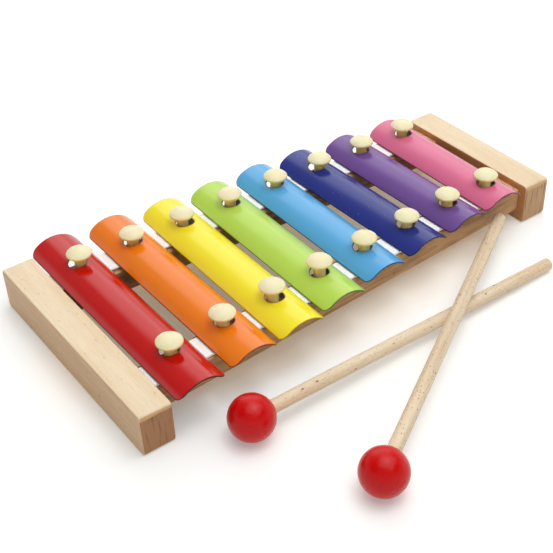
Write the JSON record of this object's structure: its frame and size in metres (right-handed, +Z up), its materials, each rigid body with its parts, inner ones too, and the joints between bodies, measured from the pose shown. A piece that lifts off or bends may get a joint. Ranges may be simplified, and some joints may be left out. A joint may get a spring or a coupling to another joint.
{
  "type": "toy xylophone",
  "caption": "Wooden toy xylophone: arched enamelled metal bars, longest to shortest, held on felted rails by mushroom pegs, with loose ball-headed beaters.",
  "frame": {"origin": "middle of the long end block's foot", "axes": "+X along the toy from the longest bar to the shortest, +Y towards its back, +Z up"},
  "size_m": [0.25, 0.2068, 0.0344],
  "materials": {
    "red_enamel": "glossy enamel",
    "orange_enamel": "glossy enamel",
    "yellow_enamel": "glossy enamel",
    "green_enamel": "glossy enamel",
    "sky_enamel": "glossy enamel",
    "navy_enamel": "glossy enamel",
    "purple_enamel": "glossy enamel",
    "pink_enamel": "glossy enamel",
    "block_beech": "smooth, clear matt varnish",
    "rail_beech": "planed, bare",
    "dowel_beech": "bare",
    "white_felt": "short-napped felt",
    "peg_maple": "turned, satin varnish",
    "stick_beech": "sanded, bare",
    "ball_lacquer": "glossy red lacquer"
  },
  "bodies": {
    "frame": {"long_block": "block_beech", "short_block": "block_beech", "front_rail": "rail_beech", "back_rail": "rail_beech", "front_felt": "white_felt", "back_felt": "white_felt", "front_dowel_at_long_block": "dowel_beech", "front_dowel_at_short_block": "dowel_beech", "back_dowel_at_long_block": "dowel_beech", "back_dowel_at_short_block": "dowel_beech", "front_peg_red": "peg_maple", "front_peg_orange": "peg_maple", "front_peg_yellow": "peg_maple", "front_peg_green": "peg_maple", "front_peg_sky": "peg_maple", "front_peg_navy": "peg_maple", "front_peg_purple": "peg_maple", "front_peg_pink": "peg_maple", "back_peg_red": "peg_maple", "back_peg_orange": "peg_maple", "back_peg_yellow": "peg_maple", "back_peg_green": "peg_maple", "back_peg_sky": "peg_maple", "back_peg_navy": "peg_maple", "back_peg_purple": "peg_maple", "back_peg_pink": "peg_maple"},
    "red_bar": {"bar_red": "red_enamel"},
    "orange_bar": {"bar_orange": "orange_enamel"},
    "yellow_bar": {"bar_yellow": "yellow_enamel"},
    "green_bar": {"bar_green": "green_enamel"},
    "sky_bar": {"bar_sky": "sky_enamel"},
    "navy_bar": {"bar_navy": "navy_enamel"},
    "purple_bar": {"bar_purple": "purple_enamel"},
    "pink_bar": {"bar_pink": "pink_enamel"},
    "lower_beater": {"lower_beater_ball": "ball_lacquer", "lower_beater_stick": "stick_beech"},
    "upper_beater": {"upper_beater_ball": "ball_lacquer", "upper_beater_stick": "stick_beech"}
  },
  "joints": [
    {"name": "red_bar_lift", "type": "slide", "parent": "frame", "child": "red_bar", "axis": [0, 0, 1], "range_m": [0, 0.0023]},
    {"name": "orange_bar_lift", "type": "slide", "parent": "frame", "child": "orange_bar", "axis": [0, 0, 1], "range_m": [0, 0.0023]},
    {"name": "yellow_bar_lift", "type": "slide", "parent": "frame", "child": "yellow_bar", "axis": [0, 0, 1], "range_m": [0, 0.0023]},
    {"name": "green_bar_lift", "type": "slide", "parent": "frame", "child": "green_bar", "axis": [0, 0, 1], "range_m": [0, 0.0023]},
    {"name": "sky_bar_lift", "type": "slide", "parent": "frame", "child": "sky_bar", "axis": [0, 0, 1], "range_m": [0, 0.0023]},
    {"name": "navy_bar_lift", "type": "slide", "parent": "frame", "child": "navy_bar", "axis": [0, 0, 1], "range_m": [0, 0.0023]},
    {"name": "purple_bar_lift", "type": "slide", "parent": "frame", "child": "purple_bar", "axis": [0, 0, 1], "range_m": [0, 0.0023]},
    {"name": "pink_bar_lift", "type": "slide", "parent": "frame", "child": "pink_bar", "axis": [0, 0, 1], "range_m": [0, 0.0023]},
    {"name": "lower_beater_away", "type": "slide", "parent": "frame", "child": "lower_beater", "axis": [-1, 0, 0], "range_m": [0, 0.075]},
    {"name": "upper_beater_away", "type": "slide", "parent": "frame", "child": "upper_beater", "axis": [0, -0.8, 0.6], "range_m": [0, 0.06]}
  ]
}
